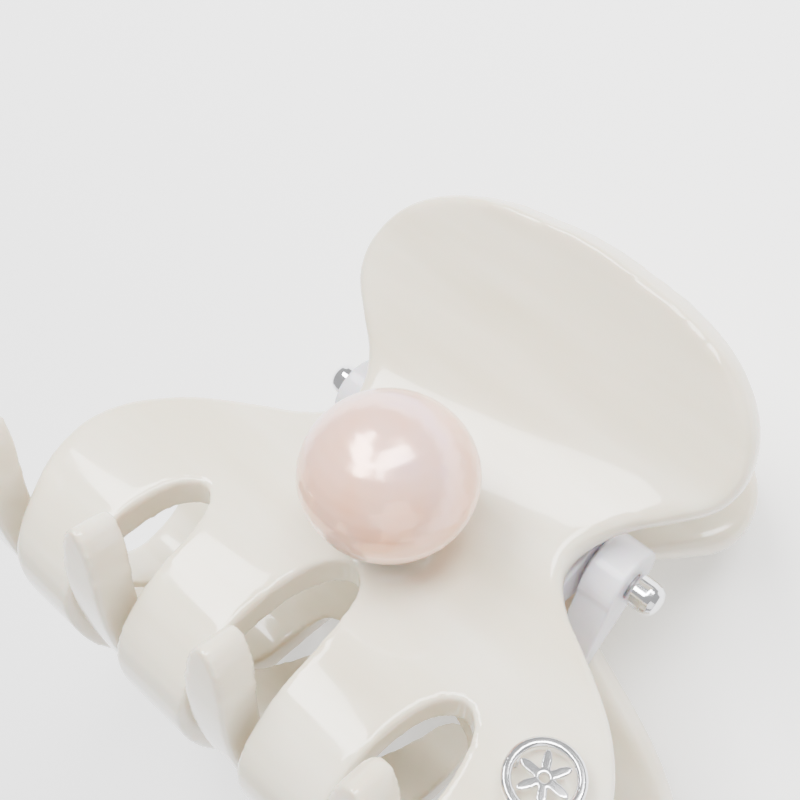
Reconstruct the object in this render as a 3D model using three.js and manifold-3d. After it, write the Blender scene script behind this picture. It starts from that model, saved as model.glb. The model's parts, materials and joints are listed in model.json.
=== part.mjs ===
// Interleaving hair claw clip, lying on its back: X runs along the hinge, +Y to the handles, +Z up.
// Millimetres. Every sub-part is one named closed solid.
import * as THREE from 'three';
import { mergeVertices } from 'three/addons/utils/BufferGeometryUtils.js';
import Module from 'manifold-3d';

const wasm = await Module();
wasm.setup();

// Driving dimensions
const PLATE = 2.8;            // acetate thickness
const PITCH = 12;             // spacing of the fingers of one jaw
const PIN_R = 0.9;
const PIN_HALF = 15.3;
const REST_TILT = 15.2;       // degrees: the clip lies on its front teeth tips and rear handle
const BORE_R = PIN_R + 0.06;
const EAR_R = 2.9;
const EAR_FOOT = 0.345;       // where along the spine the ears are glued
const COIL_R = 1.85;
const WIRE_R = 0.4;
const COIL_HALF = 6.4;
const TURNS = 9;
const PEARL_R = 5.8;
const PEARL_FLAT = 0.88;      // height over width of the button pearl
const BADGE_R = 2.5;

// Mid-line of the front jaw's plate in the YZ plane, from the handle rim to the tooth tip
const SPINE = [
  [16.6, 10.6], [13.6, 8.5], [9.6, 6.4], [5, 5.0], [0.5, 4.6], [-4.5, 5.6], [-10, 8.2],
  [-15, 10.8], [-19.6, 12.0], [-23.6, 10.4], [-25.8, 5.6], [-26, -0.5], [-24.6, -7], [-21.8, -13],
  [-18, -18.2],
];
const spine = new THREE.CatmullRomCurve3(SPINE.map(([y, z]) => new THREE.Vector3(0, y, z)));
spine.arcLengthDivisions = 400;
const LENGTH = spine.getLength();

// Half-width of each jaw along its spine: [fraction of the length, half-width]
const HANDLE = [
  [0, 1.5], [0.004, 5], [0.013, 8.6], [0.03, 12], [0.055, 14.6], [0.085, 16.2], [0.12, 16.8],
  [0.15, 16.2], [0.18, 14.2], [0.21, 11.9], [0.245, 10.5], [0.275, 10.5],
];
const FRONT_BODY = [
  [0.305, 12.4], [0.335, 16], [0.37, 19.6], [0.41, 22], [0.455, 23], [0.5, 22.5], [0.535, 21.5],
  [0.6, 21], [0.7, 21.1], [0.85, 20.9], [0.94, 20.2], [0.97, 19.9], [0.985, 19.5], [0.996, 18.8], [1, 18.2],
];
const REAR_BODY = [
  [0.305, 12.6], [0.335, 17], [0.37, 21.6], [0.41, 25], [0.46, 27.2], [0.52, 27.6], [0.6, 27.2],
  [0.7, 26.9], [0.85, 26.4], [0.94, 26.1], [0.97, 25.9], [0.985, 25.5], [0.996, 24.8], [1, 24.2],
];
// Half-width of the slots between teeth, by distance from the slot's root and from the tooth tips
const FRONT_ROOT = [
  [0, 0.3], [0.006, 1], [0.02, 1.7], [0.05, 2.3], [0.1, 2.6], [0.22, 2.7], [0.37, 3.1], [0.55, 4.1],
];
const FRONT_TIP = [[0, 6.2], [0.003, 5.3], [0.01, 4.8], [0.02, 4.4], [0.035, 4.15], [0.05, 4], [0.06, 0]];
const REAR_ROOT = [[0, 0.4], [0.006, 1.6], [0.02, 2.6], [0.05, 3.5], [0.1, 4], [0.3, 4.1], [0.6, 4.2]];
const REAR_TIP = [[0, 6.2], [0.003, 5.4], [0.01, 5], [0.02, 4.6], [0.035, 4.35], [0.05, 4.25], [0.06, 0]];

function lookup(table, at) {
  if (at <= table[0][0]) return table[0][1];
  for (let i = 1; i < table.length; i++) {
    const [a, b] = [table[i - 1], table[i]];
    if (at <= b[0]) return a[1] + (b[1] - a[1]) * (at - a[0]) / (b[0] - a[0]);
  }
  return table[table.length - 1][1];
}

function smoothTable(table) {
  const curve = new THREE.CatmullRomCurve3(table.map(([s, w]) => new THREE.Vector3(s * 100, w, 0)));
  const dense = [];
  for (let i = 0; i <= table.length * 6; i++) {
    const p = curve.getPoint(i / (table.length * 6));
    dense.push([p.x / 100, p.y]);
  }
  return dense;
}

function solidOf(rings) {
  const n = rings[0].length;
  const pos = rings.flat();
  const tri = [];
  for (let r = 0; r + 1 < rings.length; r++) {
    for (let k = 0; k < n; k++) {
      const [a, b] = [r * n + k, r * n + (k + 1) % n];
      tri.push(a, b, b + n, a, b + n, a + n);
    }
  }
  const first = pos.length;
  const mid = (ring) => ring.reduce((s, p) => s.add(p), new THREE.Vector3()).divideScalar(n);
  pos.push(mid(rings[0]), mid(rings[rings.length - 1]));
  const end = (rings.length - 1) * n;
  for (let k = 0; k < n; k++) {
    tri.push(first, (k + 1) % n, k, first + 1, end + k, end + (k + 1) % n);
  }
  const geo = new THREE.BufferGeometry();
  geo.setAttribute('position', new THREE.Float32BufferAttribute(pos.flatMap((p) => [p.x, p.y, p.z]), 3));
  geo.setIndex(tri);
  return geo;
}

function flipped(geo) {
  const idx = geo.index.array;
  for (let i = 0; i < idx.length; i += 3) {
    [idx[i], idx[i + 1]] = [idx[i + 1], idx[i]];
  }
  return geo;
}

function volume(geo) {
  const p = geo.attributes.position;
  const idx = geo.index.array;
  const [a, b, c] = [new THREE.Vector3(), new THREE.Vector3(), new THREE.Vector3()];
  let v = 0;
  for (let i = 0; i < idx.length; i += 3) {
    a.fromBufferAttribute(p, idx[i]);
    b.fromBufferAttribute(p, idx[i + 1]);
    c.fromBufferAttribute(p, idx[i + 2]);
    v += a.dot(b.cross(c));
  }
  return v;
}

function toManifold(geo) {
  let g = geo.clone();
  g.deleteAttribute('normal');
  g.deleteAttribute('uv');
  g = mergeVertices(g, 1e-4);
  const idx = Array.from(g.index.array);
  const kept = [];
  for (let i = 0; i < idx.length; i += 3) {
    const [a, b, c] = idx.slice(i, i + 3);
    if (a !== b && b !== c && c !== a) kept.push(a, b, c);
  }
  g.setIndex(kept);
  if (volume(g) < 0) flipped(g);
  return new wasm.Manifold(new wasm.Mesh({
    numProp: 3,
    vertProperties: new Float32Array(g.attributes.position.array),
    triVerts: new Uint32Array(g.index.array),
  }));
}

function toGeometry(man) {
  const m = man.getMesh();
  const g = new THREE.BufferGeometry();
  g.setAttribute('position', new THREE.BufferAttribute(new Float32Array(m.vertProperties), 3));
  g.setIndex(new THREE.BufferAttribute(new Uint32Array(m.triVerts), 1));
  return g;
}

// A plate of thickness t that follows the spine from s0 to s1, centred on x, with half-widths from a table
function plate(x, widthAt, s0, s1, steps, t, round) {
  const rings = [];
  for (let i = 0; i <= steps; i++) {
    const f = 0.5 - 0.5 * Math.cos(Math.PI * i / steps);
    const s = s0 + (s1 - s0) * (0.75 * i / steps + 0.25 * f);
    const p = spine.getPointAt(Math.min(s, 1));
    const d = spine.getTangentAt(Math.min(s, 1));
    if (s > 1) p.addScaledVector(d, (s - 1) * LENGTH);
    const nrm = new THREE.Vector3(0, -d.z, d.y).normalize();
    const w = widthAt(s);
    const c = Math.min(round, w * 0.6);
    const h = t / 2;
    const q = 0.29 * c;
    const section = [
      [w, h - c], [w - q, h - q], [w - c, h], [c - w, h], [q - w, h - q], [-w, h - c],
      [-w, c - h], [q - w, q - h], [c - w, -h], [w - c, -h], [w - q, q - h], [w, c - h],
    ];
    rings.push(section.map(([a, b]) => new THREE.Vector3(x + a, p.y + nrm.y * b, p.z + nrm.z * b)));
  }
  return solidOf(rings);
}

function jaw(body, root, tip, slots) {
  const table = smoothTable([...HANDLE, ...body]);
  let man = toManifold(plate(0, (s) => lookup(table, s), 0, 1, 90, PLATE, 0.8));
  const rootTable = smoothTable(root);
  for (const [x, s0] of slots) {
    const width = (s) => Math.max(lookup(rootTable, s - s0), lookup(tip, Math.max(1 - s, 0)));
    man = man.subtract(toManifold(plate(x, width, s0, 1.02, 52, PLATE * 2.6, 0.01)));
  }
  return man;
}

function turned(geo, deg) {
  return geo.applyMatrix4(new THREE.Matrix4().makeRotationX(THREE.MathUtils.degToRad(deg)));
}

function rod(r, x0, x1, y = 0, z = 0, seg = 32) {
  const g = new THREE.CylinderGeometry(r, r, x1 - x0, seg);
  g.rotateZ(-Math.PI / 2);
  g.translate((x0 + x1) / 2, y, z);
  return g;
}

function tube(points, r, seg) {
  const rings = [];
  for (let i = 0; i < points.length; i++) {
    const a = points[Math.max(i - 1, 0)];
    const b = points[Math.min(i + 1, points.length - 1)];
    const d = b.clone().sub(a).normalize();
    const ref = Math.abs(d.x) < 0.9 ? new THREE.Vector3(1, 0, 0) : new THREE.Vector3(0, 1, 0);
    const u = new THREE.Vector3().crossVectors(d, ref).normalize();
    const v = new THREE.Vector3().crossVectors(d, u);
    const ring = [];
    for (let k = 0; k < seg; k++) {
      const t = 2 * Math.PI * k / seg;
      const off = u.clone().multiplyScalar(r * Math.cos(t)).addScaledVector(v, r * Math.sin(t));
      ring.push(points[i].clone().add(off));
    }
    rings.push(ring);
  }
  return solidOf(rings);
}

// The spine's plate frame at fraction s: mid-point, outward normal
function at(s) {
  const p = spine.getPointAt(s);
  const d = spine.getTangentAt(s);
  const n = new THREE.Vector3(0, -d.z, d.y).normalize();
  if (n.z < 0) n.negate();
  return { p, n };
}

function lathe(profile, seg) {
  const g = new THREE.LatheGeometry(profile.map(([r, h]) => new THREE.Vector2(r, h)), seg);
  g.rotateX(Math.PI / 2);
  return g;
}

function placed(geo, x, s, lift) {
  const { p, n } = at(s);
  const q = new THREE.Quaternion().setFromUnitVectors(new THREE.Vector3(0, 0, 1), n);
  const m = new THREE.Matrix4().makeRotationFromQuaternion(q);
  const o = p.clone().addScaledVector(n, lift);
  m.setPosition(x, o.y, o.z);
  return geo.applyMatrix4(m);
}

// Ear: a round eye about the pin, with a leg up to the inside of its jaw
function ear(x0, x1, side) {
  const { p, n } = at(EAR_FOOT);
  const inner = p.clone().addScaledVector(n, -PLATE / 2 - 0.03);
  const along = new THREE.Vector3(0, -n.z, n.y).normalize();
  const corners = [
    inner.clone().addScaledVector(along, 2.2),
    inner.clone().addScaledVector(along, -3),
    new THREE.Vector3(0, EAR_R * 0.7, EAR_R * 0.62),
    new THREE.Vector3(0, -EAR_R * 0.75, -EAR_R * 0.55),
  ];
  const section = (x) => corners.map((c) => new THREE.Vector3(x, c.y, c.z));
  const leg = toManifold(solidOf([section(x0), section(x1)]));
  const man = leg.add(toManifold(rod(EAR_R, x0, x1))).subtract(toManifold(rod(BORE_R, x0 - 1, x1 + 1)));
  return side < 0 ? mirrorZ(man) : man;
}

const group = new THREE.Group();
group.name = 'claw_clip';
const FLAT = { roughness: 0.25, metalness: 0 };
const CREAM = { color: 0xece8dc, ...FLAT };
const CLEAR = { color: 0xe6e1ea, roughness: 0.3, metalness: 0 };
const SILVER = { color: 0xc9c9cc, roughness: 0.15, metalness: 1 };
const STEEL = { color: 0xb4b6ba, roughness: 0.3, metalness: 1 };
const PINK = { color: 0xf3d5cc, roughness: 0.2, metalness: 0 };

// Height of the pin above the table once the clip lies tilted on its tips and rear handle
const tilt = THREE.MathUtils.degToRad(REST_TILT);
const parts = [];

function add(name, man, look) {
  parts.push([name, toGeometry(man), look]);
}

function mirrorZ(man) {
  const g = toGeometry(man);
  g.applyMatrix4(new THREE.Matrix4().makeScale(1, 1, -1));
  return toManifold(g);
}

// Jaws
const frontSlots = [[-PITCH, 0.432], [0, 0.4], [PITCH, 0.432]];
const rearSlots = [[-1.5 * PITCH, 0.49], [-PITCH / 2, 0.47], [PITCH / 2, 0.47], [1.5 * PITCH, 0.49]];
const PEARL_S = 0.355;
const BADGE_S = 0.445;
const BADGE_X = 18.6;
const PEG_R = 0.5;
let front = jaw(FRONT_BODY, FRONT_ROOT, FRONT_TIP, frontSlots);
const holeFor = (r, depth) => lathe([[0, -depth], [r, -depth], [r, 3], [0, 3]], 20);
front = front.subtract(toManifold(placed(holeFor(PEG_R + 0.05, 1.6), 0, PEARL_S, PLATE / 2)));
for (const dx of [-2.1, 2.1]) {
  front = front.subtract(toManifold(placed(holeFor(0.35, 1.2), BADGE_X + dx, BADGE_S, PLATE / 2)));
}
add('front_jaw', front, CREAM);
add('rear_jaw', mirrorZ(jaw(REAR_BODY, REAR_ROOT, REAR_TIP, rearSlots)), CREAM);

// Hinge ears, glued inside each jaw: the front pair inside the rear pair
const EARS = [[7.6, 10.4, 1, 'front_ear'], [10.8, 13.6, -1, 'rear_ear']];
for (const [x0, x1, side, name] of EARS) {
  add(`${name}_right`, ear(x0, x1, side), CLEAR);
  add(`${name}_left`, ear(-x1, -x0, side), CLEAR);
}

// Pin, its end caps and the washers between the ears
add('hinge_pin', toManifold(rod(PIN_R, -PIN_HALF, PIN_HALF)), STEEL);
for (const [side, word] of [[1, 'right'], [-1, 'left']]) {
  const cap = lathe([
    [0, 1.5 + 0.9], [0.5, 2.35], [0.95, 2.15], [1.2, 1.8], [1.3, 1.35], [1.3, 0.25], [1.15, 0.1],
    [BORE_R, 0.1], [BORE_R, 1.7], [0, 1.7],
  ].reverse(), 28);
  cap.rotateY(Math.PI / 2 * side);
  cap.translate(side * 13.65, 0, 0);
  add(`pin_cap_${word}`, toManifold(cap), SILVER);
  const washer = lathe([[BORE_R, 0], [1.9, 0], [1.9, 0.3], [BORE_R, 0.3], [BORE_R, 0]], 28);
  washer.rotateY(Math.PI / 2 * side);
  washer.translate(side * 10.45, 0, 0);
  add(`washer_${word}`, toManifold(washer), STEEL);
}

// Torsion spring: a coil round the pin with a straight leg inside each handle
const wire = [];
const LEG = 9;
const LEG_Z = 2.6;
const turnSteps = 12;
const sweep = TURNS * 2 * Math.PI;
const legEnd = (x, z) => new THREE.Vector3(x, LEG, z);
wire.push(legEnd(-COIL_HALF, LEG_Z + 0.5), new THREE.Vector3(-COIL_HALF, 5, LEG_Z));
for (let i = 0; i <= TURNS * turnSteps; i++) {
  const f = i / (TURNS * turnSteps);
  const t = Math.PI / 2 + sweep * f + Math.PI * f;
  wire.push(new THREE.Vector3(
    -COIL_HALF + 2 * COIL_HALF * f, COIL_R * Math.cos(t), COIL_R * Math.sin(t)));
}
wire.push(new THREE.Vector3(COIL_HALF, 5, -LEG_Z), legEnd(COIL_HALF, -LEG_Z - 0.5));
add('torsion_spring', toManifold(tube(wire, WIRE_R, 8)), STEEL);

// Pearl on its cup and peg
const seat = PLATE / 2 + 0.4;
const CUP = [[PEG_R + 0.05, 0], [2.3, 0], [2.9, 0.35], [3.1, 0.8], [2.9, 0.8], [2.2, 0.5], [PEG_R + 0.05, 0.5]];
const cup = lathe([...CUP, CUP[0]], 36);
add('pearl_cup', toManifold(placed(cup, 0, PEARL_S, seat)), SILVER);
const pearlHigh = PEARL_R * PEARL_FLAT;
const ball = new THREE.SphereGeometry(PEARL_R, 36, 18);
ball.scale(1, PEARL_FLAT, 1);
ball.rotateX(Math.PI / 2);
ball.translate(0, 0, pearlHigh + 0.75);
let pearl = toManifold(placed(ball, 0, PEARL_S, seat));
const pegHole = lathe([[0, -1], [PEG_R + 0.05, -1], [PEG_R + 0.05, 4.1], [0, 4.1]], 20);
pearl = pearl.subtract(toManifold(placed(pegHole, 0, PEARL_S, seat)));
add('pearl', pearl, PINK);
const peg = lathe([[0, -1.5], [PEG_R, -1.5], [PEG_R, 3.9], [0, 3.9]], 20);
add('pearl_peg', toManifold(placed(peg, 0, PEARL_S, seat)), STEEL);

// Badge: a ring with an openwork daisy, on two pegs pressed into the jaw
const ringProfile = [[1.85, 0], [BADGE_R, 0], [BADGE_R, 0.5], [2.35, 0.65], [2.0, 0.65], [1.85, 0.5], [1.85, 0]];
add('badge_ring', toManifold(placed(lathe(ringProfile, 40), BADGE_X, BADGE_S, seat + 0.45)), SILVER);
const petals = (z) => Array.from({ length: 72 }, (_, i) => {
  const t = 2 * Math.PI * i / 72;
  const r = 1.15 + 0.58 * Math.cos(6 * t);
  return new THREE.Vector3(r * Math.cos(t), r * Math.sin(t), z);
});
const eye = toManifold(lathe([[0, -1], [0.3, -1], [0.3, 2], [0, 2]], 16));
const daisy = toManifold(solidOf([petals(0), petals(0.45)])).subtract(eye);
add('badge_daisy', toManifold(placed(toGeometry(daisy), BADGE_X, BADGE_S, seat + 0.5)), SILVER);
for (const [dx, word] of [[-2.1, 'left'], [2.1, 'right']]) {
  const post = lathe([[0, -1.1], [0.3, -1.1], [0.3, 0.38], [0, 0.38]], 16);
  add(`badge_post_${word}`, toManifold(placed(post, BADGE_X + dx, BADGE_S, seat)), STEEL);
}

// Lay the clip down: tilt about the hinge, then lift the lowest point to Z = 0 and centre it
const box = new THREE.Box3();
for (const [, geo] of parts) {
  turned(geo, -REST_TILT);
  geo.computeBoundingBox();
  box.union(geo.boundingBox);
}
const shift = new THREE.Vector3(-(box.min.x + box.max.x) / 2, -(box.min.y + box.max.y) / 2, -box.min.z);
for (const [name, geo, look] of parts) {
  geo.translate(shift.x, shift.y, shift.z);
  geo.computeVertexNormals();
  const mesh = new THREE.Mesh(geo, new THREE.MeshStandardMaterial(look));
  mesh.name = name;
  group.add(mesh);
}
group.userData.pin = [shift.x, shift.y, shift.z, tilt];

export default group;
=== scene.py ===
"""Cream claw clip with a pearl, lying on a pale table. Metres, in the CAD frame."""
import json

import bpy
from mathutils import Matrix, Vector


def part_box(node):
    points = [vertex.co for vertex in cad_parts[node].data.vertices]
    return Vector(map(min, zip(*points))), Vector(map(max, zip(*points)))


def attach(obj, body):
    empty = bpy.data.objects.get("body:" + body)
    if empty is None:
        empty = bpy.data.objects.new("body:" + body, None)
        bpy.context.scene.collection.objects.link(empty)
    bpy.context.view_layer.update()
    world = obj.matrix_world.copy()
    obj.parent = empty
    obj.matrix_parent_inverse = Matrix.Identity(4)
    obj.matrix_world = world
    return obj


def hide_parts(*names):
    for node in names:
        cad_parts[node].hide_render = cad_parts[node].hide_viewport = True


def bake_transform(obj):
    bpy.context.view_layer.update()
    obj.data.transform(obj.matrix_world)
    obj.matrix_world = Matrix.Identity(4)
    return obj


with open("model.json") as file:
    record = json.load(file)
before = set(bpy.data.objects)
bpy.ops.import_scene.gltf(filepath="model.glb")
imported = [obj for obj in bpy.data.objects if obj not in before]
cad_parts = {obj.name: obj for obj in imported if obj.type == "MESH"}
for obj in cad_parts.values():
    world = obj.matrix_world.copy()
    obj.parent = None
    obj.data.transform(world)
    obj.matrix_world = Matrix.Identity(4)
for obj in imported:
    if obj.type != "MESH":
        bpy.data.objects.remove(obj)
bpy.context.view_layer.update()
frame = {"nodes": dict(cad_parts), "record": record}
MM = 0.001

# The hinge pin's centre, which the lights and the camera are placed from
pin_low, pin_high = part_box("hinge_pin")
PIN = (pin_low + pin_high) / 2

BODY = {}
for body_name, node_names in frame["record"]["behaviour"]["bodies"].items():
    for node_name in node_names:
        BODY[node_name] = body_name
SLOT = {row["node"]: row["material_slot"] for row in frame["record"]["subparts"]}


# ---- Materials -------------------------------------------------------------------------------

def new_material(name):
    """A fresh node material: (material, its nodes, its links, its shader)."""
    mat = bpy.data.materials.new(name)
    mat.use_nodes = True
    return mat, mat.node_tree.nodes, mat.node_tree.links, mat.node_tree.nodes["Principled BSDF"]


def noise(nodes, links, scale, stretch=(1, 1, 1), turn=(0, 0, 0), detail=4):
    """Noise in the object's own space; scale is in features per metre."""
    coord = nodes.new("ShaderNodeTexCoord")
    mapping = nodes.new("ShaderNodeMapping")
    mapping.inputs["Scale"].default_value = stretch
    mapping.inputs["Rotation"].default_value = turn
    tex = nodes.new("ShaderNodeTexNoise")
    tex.inputs["Scale"].default_value = scale
    tex.inputs["Detail"].default_value = detail
    links.new(coord.outputs["Object"], mapping.inputs["Vector"])
    links.new(mapping.outputs["Vector"], tex.inputs["Vector"])
    return tex


def ramp(nodes, links, source, stops):
    """Colours a 0-to-1 source by (position, colour) stops."""
    node = nodes.new("ShaderNodeValToRGB")
    while len(node.color_ramp.elements) < len(stops):
        node.color_ramp.elements.new(0.5)
    for element, (at, color) in zip(node.color_ramp.elements, stops):
        element.position = at
        element.color = (*color, 1)
    links.new(source, node.inputs["Fac"])
    return node


def bump(nodes, links, source, shader, strength, distance):
    node = nodes.new("ShaderNodeBump")
    node.inputs["Strength"].default_value = strength
    node.inputs["Distance"].default_value = distance
    links.new(source, node.inputs["Height"])
    links.new(node.outputs["Normal"], shader.inputs["Normal"])


def rough_from(nodes, links, source, shader, smooth, dull):
    """Lets the roughness vary between two values with a 0-to-1 source."""
    node = nodes.new("ShaderNodeMapRange")
    node.inputs["To Min"].default_value = smooth
    node.inputs["To Max"].default_value = dull
    links.new(source, node.inputs["Value"])
    links.new(node.outputs["Result"], shader.inputs["Roughness"])


def acetate():
    mat, nodes, links, shader = new_material("cream_acetate")
    # Faint pearly streaks that run slantwise through the sheet
    streak = noise(nodes, links, 90, stretch=(0.35, 2.2, 1), turn=(0, 0, 0.9), detail=3)
    tint = ramp(nodes, links, streak.outputs["Fac"], [
        (0.32, (0.68, 0.61, 0.46)), (0.5, (0.74, 0.68, 0.54)), (0.68, (0.8, 0.755, 0.635))])
    links.new(tint.outputs["Color"], shader.inputs["Base Color"])
    fine = noise(nodes, links, 900, detail=6)
    rough_from(nodes, links, fine.outputs["Fac"], shader, 0.1, 0.2)
    bump(nodes, links, noise(nodes, links, 160).outputs["Fac"], shader, 0.05, 0.0003)
    shader.inputs["Subsurface Weight"].default_value = 0.25
    shader.inputs["Subsurface Scale"].default_value = 0.002
    shader.inputs["Coat Weight"].default_value = 0.6
    shader.inputs["Coat Roughness"].default_value = 0.04
    shader.inputs["IOR"].default_value = 1.48
    return mat


def clear_acetate():
    mat, nodes, links, shader = new_material("milky_acetate")
    cloud = noise(nodes, links, 250)
    tint = ramp(nodes, links, cloud.outputs["Fac"], [
        (0.3, (0.78, 0.75, 0.83)), (0.7, (0.9, 0.88, 0.93))])
    links.new(tint.outputs["Color"], shader.inputs["Base Color"])
    rough_from(nodes, links, cloud.outputs["Fac"], shader, 0.15, 0.3)
    shader.inputs["Transmission Weight"].default_value = 0.3
    shader.inputs["Subsurface Weight"].default_value = 0.4
    shader.inputs["Subsurface Scale"].default_value = 0.002
    return mat


def metal(name, dark, light, smooth, dull):
    mat, nodes, links, shader = new_material(name)
    wear = noise(nodes, links, 700, detail=6)
    tint = ramp(nodes, links, wear.outputs["Fac"], [(0.3, dark), (0.7, light)])
    links.new(tint.outputs["Color"], shader.inputs["Base Color"])
    rough_from(nodes, links, wear.outputs["Fac"], shader, smooth, dull)
    bump(nodes, links, wear.outputs["Fac"], shader, 0.04, 0.00005)
    shader.inputs["Metallic"].default_value = 1
    return mat


def nacre():
    mat, nodes, links, shader = new_material("pink_nacre")
    cloud = noise(nodes, links, 110, stretch=(1, 1, 1.6), detail=3)
    tint = ramp(nodes, links, cloud.outputs["Fac"], [
        (0.32, (0.86, 0.42, 0.24)), (0.45, (0.88, 0.52, 0.38)), (0.58, (0.87, 0.55, 0.47)),
        (0.72, (0.72, 0.48, 0.62))])
    links.new(tint.outputs["Color"], shader.inputs["Base Color"])
    rough_from(nodes, links, cloud.outputs["Fac"], shader, 0.14, 0.26)
    bump(nodes, links, noise(nodes, links, 420).outputs["Fac"], shader, 0.05, 0.0002)
    shader.inputs["Metallic"].default_value = 0.25
    shader.inputs["Subsurface Weight"].default_value = 0.2
    shader.inputs["Subsurface Scale"].default_value = 0.002
    shader.inputs["Coat Weight"].default_value = 0.8
    shader.inputs["Coat Roughness"].default_value = 0.12
    return mat


MATERIAL = {
    "acetate": acetate(),
    "clear_acetate": clear_acetate(),
    "steel": metal("spring_steel", (0.42, 0.43, 0.45), (0.56, 0.57, 0.6), 0.22, 0.38),
    "silver": metal("polished_silver", (0.74, 0.74, 0.76), (0.86, 0.86, 0.88), 0.06, 0.16),
    "pearl": nacre(),
}


# ---- Pieces ----------------------------------------------------------------------------------

def twist(spring):
    """Bakes the spring's placement into its mesh."""
    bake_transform(spring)


def soften(node_name, voxel, passes):
    """A fine copy of a CAD solid, its edges rounded as a polished piece's are."""
    solid = frame["nodes"][node_name]
    piece = bpy.data.objects.new(node_name + "_polished", solid.data.copy())
    bpy.context.scene.collection.objects.link(piece)
    remesh = piece.modifiers.new("remesh", "REMESH")
    remesh.mode = "VOXEL"
    remesh.voxel_size = voxel
    smooth = piece.modifiers.new("smooth", "SMOOTH")
    smooth.factor = 0.5
    smooth.iterations = passes
    bpy.context.view_layer.update()
    graph = bpy.context.evaluated_depsgraph_get()
    result = bpy.data.meshes.new_from_object(piece.evaluated_get(graph))
    piece.modifiers.clear()
    piece.data = result
    result.materials.clear()
    result.materials.append(MATERIAL[SLOT[node_name]])
    for polygon in result.polygons:
        polygon.use_smooth = True
    if node_name == "torsion_spring":
        twist(piece)
    else:
        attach(piece, BODY[node_name])
    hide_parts(node_name)
    return piece


# Voxel size in mm and smoothing passes of each polished piece
POLISHED = {
    "front_jaw": (0.25, 9),
    "rear_jaw": (0.25, 9),
    "front_ear_right": (0.15, 4),
    "front_ear_left": (0.15, 4),
    "rear_ear_right": (0.15, 4),
    "rear_ear_left": (0.15, 4),
    "pin_cap_right": (0.06, 4),
    "pin_cap_left": (0.06, 4),
    "pearl": (0.14, 12),
    "badge_ring": (0.06, 4),
    "badge_daisy": (0.06, 4),
    "torsion_spring": (0.09, 5),
}
coarser = 1
for polished_name, (voxel_mm, smoothing) in POLISHED.items():
    soften(polished_name, voxel_mm * MM * coarser, smoothing)

# The other CAD solids keep their shape and only get a better material
for plain_name, slot_name in SLOT.items():
    if plain_name not in POLISHED:
        for material_slot in frame["nodes"][plain_name].material_slots:
            material_slot.material = MATERIAL[slot_name]


# ---- Floor, light and camera -------------------------------------------------------------------

TABLE_HALF = 1.5


def table():
    side = TABLE_HALF
    corners = [(-side, -side, 0), (side, -side, 0), (side, side, 0), (-side, side, 0)]
    mesh = bpy.data.meshes.new("table")
    mesh.from_pydata(corners, [], [(0, 1, 2, 3)])
    obj = bpy.data.objects.new("table", mesh)
    bpy.context.scene.collection.objects.link(obj)
    mat, nodes, links, shader = new_material("pale_table")
    tint = ramp(nodes, links, noise(nodes, links, 12).outputs["Fac"], [
        (0.3, (0.95, 0.95, 0.955)), (0.7, (0.97, 0.97, 0.975))])
    links.new(tint.outputs["Color"], shader.inputs["Base Color"])
    shader.inputs["Roughness"].default_value = 0.7
    shader.inputs["Emission Color"].default_value = (1, 1, 1, 1)
    shader.inputs["Emission Strength"].default_value = 0.3
    mesh.materials.append(mat)


def soft_box(name, place, size, power):
    """A soft rectangular light at a place measured from the pin, facing it."""
    light = bpy.data.lights.new(name, "AREA")
    light.shape = "RECTANGLE"
    light.size, light.size_y = size
    light.energy = power
    obj = bpy.data.objects.new(name, light)
    bpy.context.scene.collection.objects.link(obj)
    obj.location = PIN + Vector(place)
    obj.rotation_euler = (-Vector(place)).to_track_quat("-Z", "Y").to_euler()


table()
soft_box("window_left", (-0.13, 0.13, 0.3), (0.12, 0.3), 2.6)
soft_box("window_right", (0.03, 0.22, 0.28), (0.12, 0.3), 2.2)
soft_box("fill", (0.3, -0.15, 0.2), (0.3, 0.3), 0.5)

world = bpy.data.worlds.new("studio")
bpy.context.scene.world = world
world.use_nodes = True
sky = world.node_tree.nodes["Background"]
sky.inputs["Color"].default_value = (1, 1, 1, 1)
sky.inputs["Strength"].default_value = 0.6

# Close above the front jaw, a little to the right, with the hinge axis slanting down to the right
CAMERA_FROM_PIN = Vector((27.5, 12.4, 70.1)) * MM
UP_IN_VIEW = Vector((-0.546, 0.835, 0.066))
SENSOR_WIDTH = 36
LENS = 45.4
camera_data = bpy.data.cameras.new("camera")
camera_data.sensor_width = SENSOR_WIDTH
camera_data.lens = LENS
camera_data.shift_x = -0.109
camera_data.shift_y = 0.102
camera_data.clip_start = 0.005
camera = bpy.data.objects.new("camera", camera_data)
bpy.context.scene.collection.objects.link(camera)
back = CAMERA_FROM_PIN.normalized()
right = UP_IN_VIEW.cross(back).normalized()
up = back.cross(right)
pose = Matrix((right, up, back)).transposed().to_4x4()
pose.translation = PIN + CAMERA_FROM_PIN
camera.matrix_world = pose
bpy.context.scene.camera = camera

bpy.context.view_layer.update()
